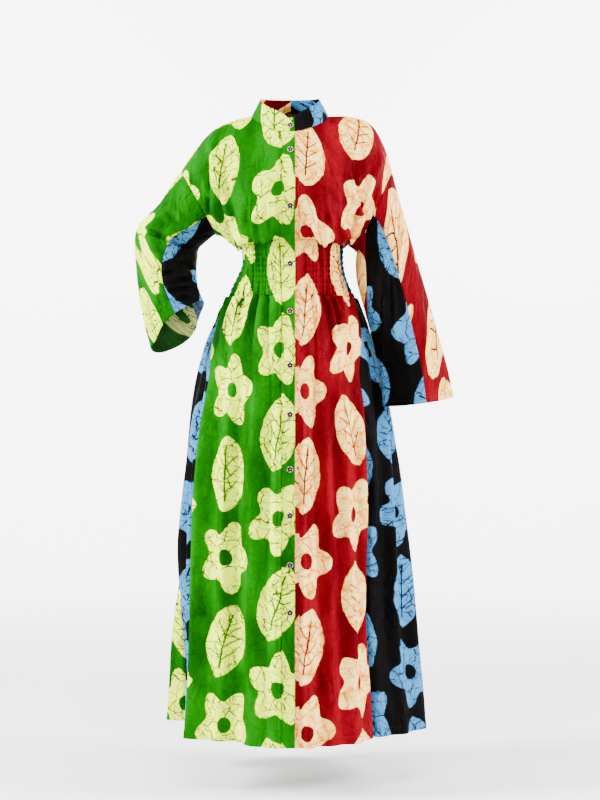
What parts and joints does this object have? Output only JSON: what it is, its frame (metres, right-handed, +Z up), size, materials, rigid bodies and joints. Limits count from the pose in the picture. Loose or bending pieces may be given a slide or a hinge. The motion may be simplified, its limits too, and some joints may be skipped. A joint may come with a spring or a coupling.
{
  "type": "shirt dress",
  "caption": "Full-length button-front shirt dress with a stand collar, dropped shoulders, bell sleeves, a shirred waist band and a gathered skirt, in three colour blocks.",
  "frame": {"origin": "on the line of buttons in plan and midway from front to back, level with the point where the shoulder seams meet the neck", "axes": "+Z up, the front faces -Y, the wearer's left is +X"},
  "size_m": [0.7434, 0.4347, 1.4869],
  "materials": {
    "green_cotton": "crisp printed cotton",
    "red_cotton": "crisp printed cotton",
    "black_cotton": "crisp printed cotton",
    "button_bone": "satin"
  },
  "bodies": {
    "root": {"collar_right": "green_cotton", "collar_left": "black_cotton", "collar_facing_right": "red_cotton", "collar_facing_left": "black_cotton", "bodice_front_right": "green_cotton", "bodice_front_left": "red_cotton", "bodice_back_right": "green_cotton", "bodice_back_left": "red_cotton", "sleeve_right_main": "green_cotton", "sleeve_right_under": "black_cotton", "sleeve_left_main": "red_cotton", "sleeve_left_under": "black_cotton", "band_front_right": "green_cotton", "band_front_left": "red_cotton", "band_side_right": "black_cotton", "band_side_left": "black_cotton", "band_back_right": "green_cotton", "band_back_left": "red_cotton", "skirt_front_right": "green_cotton", "skirt_front_left": "red_cotton", "skirt_side_right": "black_cotton", "skirt_side_left": "black_cotton", "skirt_back_right": "green_cotton", "skirt_back_left": "red_cotton", "placket_right": "green_cotton", "placket_left": "red_cotton", "button_01": "button_bone", "button_02": "button_bone", "button_03": "button_bone", "button_04": "button_bone", "button_05": "button_bone", "button_06": "button_bone", "button_07": "button_bone", "button_08": "button_bone", "button_09": "button_bone", "button_10": "button_bone", "button_11": "button_bone"}
  },
  "joints": []
}
